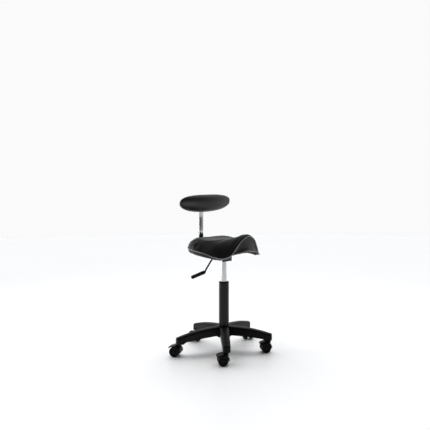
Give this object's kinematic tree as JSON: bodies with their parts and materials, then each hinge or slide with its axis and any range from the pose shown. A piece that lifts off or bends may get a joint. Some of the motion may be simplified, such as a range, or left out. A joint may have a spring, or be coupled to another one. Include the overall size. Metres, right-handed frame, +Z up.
{
  "type": "saddle stool",
  "caption": "Height-adjustable saddle stool on a star base with casters, with a gas-lift column, a side release lever and a small oval back pad on an upright arm.",
  "frame": {"origin": "on the floor, in the middle of the footprint of the whole stool; the column's axis is 1.5 mm towards -X and 11 mm towards -Y of it", "axes": "+Z up; the sitter faces -Y; -X is the sitter's right, where the release lever is"},
  "size_m": [0.5036, 0.4867, 0.7743],
  "materials": {
    "nylon": "moulded black plastic with a fine satin grain",
    "powder_coat": "black powder-coated steel, satin",
    "chrome": "bright chromed steel",
    "zinc_steel": "zinc-plated steel",
    "leather": "black upholstery leather over foam, fine grain, satin",
    "board": "black moulded pan, matte",
    "rubber": "black rubber",
    "caster_plastic": "smooth black moulded plastic",
    "wheel_plastic": "black moulded wheel, satin",
    "acetal": "black acetal, satin",
    "grip_plastic": "black ribbed hand grip, satin"
  },
  "bodies": {
    "base": {"star_base": "nylon", "hub_sleeve": "zinc_steel", "column_tube": "powder_coat", "guide_bush": "acetal", "thrust_bearing": "zinc_steel", "caster_1_stem": "zinc_steel", "caster_2_stem": "zinc_steel", "caster_3_stem": "zinc_steel", "caster_4_stem": "zinc_steel", "caster_5_stem": "zinc_steel"},
    "rod": {"piston_rod": "chrome", "rod_clip": "zinc_steel", "thrust_washer": "zinc_steel", "rubber_buffer": "rubber", "piston": "zinc_steel"},
    "seat": {"gas_cylinder": "chrome", "rod_guide": "acetal", "mechanism_housing": "powder_coat", "mounting_plate": "powder_coat", "seat_bolt_1": "zinc_steel", "seat_bolt_2": "zinc_steel", "seat_bolt_3": "zinc_steel", "seat_bolt_4": "zinc_steel", "lever_pin": "zinc_steel", "seat_board": "board", "seat_cushion": "leather", "back_arm": "powder_coat", "arm_bolt_1": "zinc_steel", "arm_bolt_2": "zinc_steel"},
    "lever": {"lever_rod": "powder_coat", "lever_grip": "grip_plastic"},
    "release": {"release_pin": "zinc_steel"},
    "back_slide": {"back_tube": "chrome", "clamp_screw": "acetal", "hinge_pin": "zinc_steel"},
    "backrest": {"back_pad": "leather", "pad_board": "board", "pad_bracket": "powder_coat", "pad_screw_left": "zinc_steel", "pad_screw_right": "zinc_steel"},
    "caster_1": {"caster_1_housing": "caster_plastic", "caster_1_axle": "zinc_steel"},
    "caster_1_left": {"caster_1_wheel_left": "wheel_plastic"},
    "caster_1_right": {"caster_1_wheel_right": "wheel_plastic"},
    "caster_2": {"caster_2_housing": "caster_plastic", "caster_2_axle": "zinc_steel"},
    "caster_2_left": {"caster_2_wheel_left": "wheel_plastic"},
    "caster_2_right": {"caster_2_wheel_right": "wheel_plastic"},
    "caster_3": {"caster_3_housing": "caster_plastic", "caster_3_axle": "zinc_steel"},
    "caster_3_left": {"caster_3_wheel_left": "wheel_plastic"},
    "caster_3_right": {"caster_3_wheel_right": "wheel_plastic"},
    "caster_4": {"caster_4_housing": "caster_plastic", "caster_4_axle": "zinc_steel"},
    "caster_4_left": {"caster_4_wheel_left": "wheel_plastic"},
    "caster_4_right": {"caster_4_wheel_right": "wheel_plastic"},
    "caster_5": {"caster_5_housing": "caster_plastic", "caster_5_axle": "zinc_steel"},
    "caster_5_left": {"caster_5_wheel_left": "wheel_plastic"},
    "caster_5_right": {"caster_5_wheel_right": "wheel_plastic"}
  },
  "joints": [
    {"name": "seat_swivel", "type": "hinge", "parent": "base", "child": "rod", "pos_m": [-0.0015, -0.011, 0.07], "axis": [0, 0, 1], "continuous": true},
    {"name": "seat_lift", "type": "slide", "parent": "rod", "child": "seat", "axis": [0, 0, 1], "range_m": [-0.08, 0.055]},
    {"name": "release_lever", "type": "hinge", "parent": "seat", "child": "lever", "pos_m": [-0.0275, -0.011, 0.4728], "axis": [0, 1, 0], "range_deg": [0, 5], "stiffness_Nm_per_rad": 8, "springref_deg": -8.59},
    {"name": "release_press", "type": "slide", "parent": "seat", "child": "release", "axis": [0, 0, -1], "range_m": [0, 0.0025]},
    {"name": "back_height", "type": "slide", "parent": "seat", "child": "back_slide", "axis": [0, 0, 1], "range_m": [-0.02, 0.03]},
    {"name": "back_tilt", "type": "hinge", "parent": "back_slide", "child": "backrest", "pos_m": [-0.0015, 0.14487, 0.712], "axis": [1, 0, 0], "range_deg": [-6, 5]},
    {"name": "caster_1_swivel", "type": "hinge", "parent": "base", "child": "caster_1", "pos_m": [-0.16216, -0.17278, 0.05], "axis": [0, 0, 1], "continuous": true},
    {"name": "caster_1_roll_left", "type": "hinge", "parent": "caster_1", "child": "caster_1_left", "pos_m": [-0.17614, -0.16145, 0.024], "axis": [-0.6293, -0.7771, 0], "continuous": true},
    {"name": "caster_1_roll_right", "type": "hinge", "parent": "caster_1", "child": "caster_1_right", "pos_m": [-0.17614, -0.16145, 0.024], "axis": [-0.6293, -0.7771, 0], "continuous": true},
    {"name": "caster_2_swivel", "type": "hinge", "parent": "base", "child": "caster_2", "pos_m": [0.10272, -0.21379, 0.05], "axis": [0, 0, 1], "continuous": true},
    {"name": "caster_2_roll_left", "type": "hinge", "parent": "caster_2", "child": "caster_2_left", "pos_m": [0.08853, -0.2027, 0.024], "axis": [-0.6157, -0.788, 0], "continuous": true},
    {"name": "caster_2_roll_right", "type": "hinge", "parent": "caster_2", "child": "caster_2_right", "pos_m": [0.08853, -0.2027, 0.024], "axis": [-0.6157, -0.788, 0], "continuous": true},
    {"name": "caster_3_swivel", "type": "hinge", "parent": "base", "child": "caster_3", "pos_m": [0.22357, 0.02545, 0.05], "axis": [0, 0, 1], "continuous": true},
    {"name": "caster_3_roll_left", "type": "hinge", "parent": "caster_3", "child": "caster_3_left", "pos_m": [0.21484, 0.00971, 0.024], "axis": [0.8746, -0.4848, 0], "continuous": true},
    {"name": "caster_3_roll_right", "type": "hinge", "parent": "caster_3", "child": "caster_3_right", "pos_m": [0.21484, 0.00971, 0.024], "axis": [0.8746, -0.4848, 0], "continuous": true},
    {"name": "caster_4_swivel", "type": "hinge", "parent": "base", "child": "caster_4", "pos_m": [0.03338, 0.21432, 0.05], "axis": [0, 0, 1], "continuous": true},
    {"name": "caster_4_roll_left", "type": "hinge", "parent": "caster_4", "child": "caster_4_left", "pos_m": [0.01608, 0.20936, 0.024], "axis": [0.2756, -0.9613, 0], "continuous": true},
    {"name": "caster_4_roll_right", "type": "hinge", "parent": "caster_4", "child": "caster_4_right", "pos_m": [0.01608, 0.20936, 0.024], "axis": [0.2756, -0.9613, 0], "continuous": true},
    {"name": "caster_5_swivel", "type": "hinge", "parent": "base", "child": "caster_5", "pos_m": [-0.20501, 0.0918, 0.05], "axis": [0, 0, 1], "continuous": true},
    {"name": "caster_5_roll_left", "type": "hinge", "parent": "caster_5", "child": "caster_5_left", "pos_m": [-0.2129, 0.10798, 0.024], "axis": [-0.8988, -0.4384, 0], "continuous": true},
    {"name": "caster_5_roll_right", "type": "hinge", "parent": "caster_5", "child": "caster_5_right", "pos_m": [-0.2129, 0.10798, 0.024], "axis": [-0.8988, -0.4384, 0], "continuous": true}
  ],
  "couplings": [
    {"joint": "release_press", "follows": "release_lever", "m_per_rad": 0.026}
  ]
}
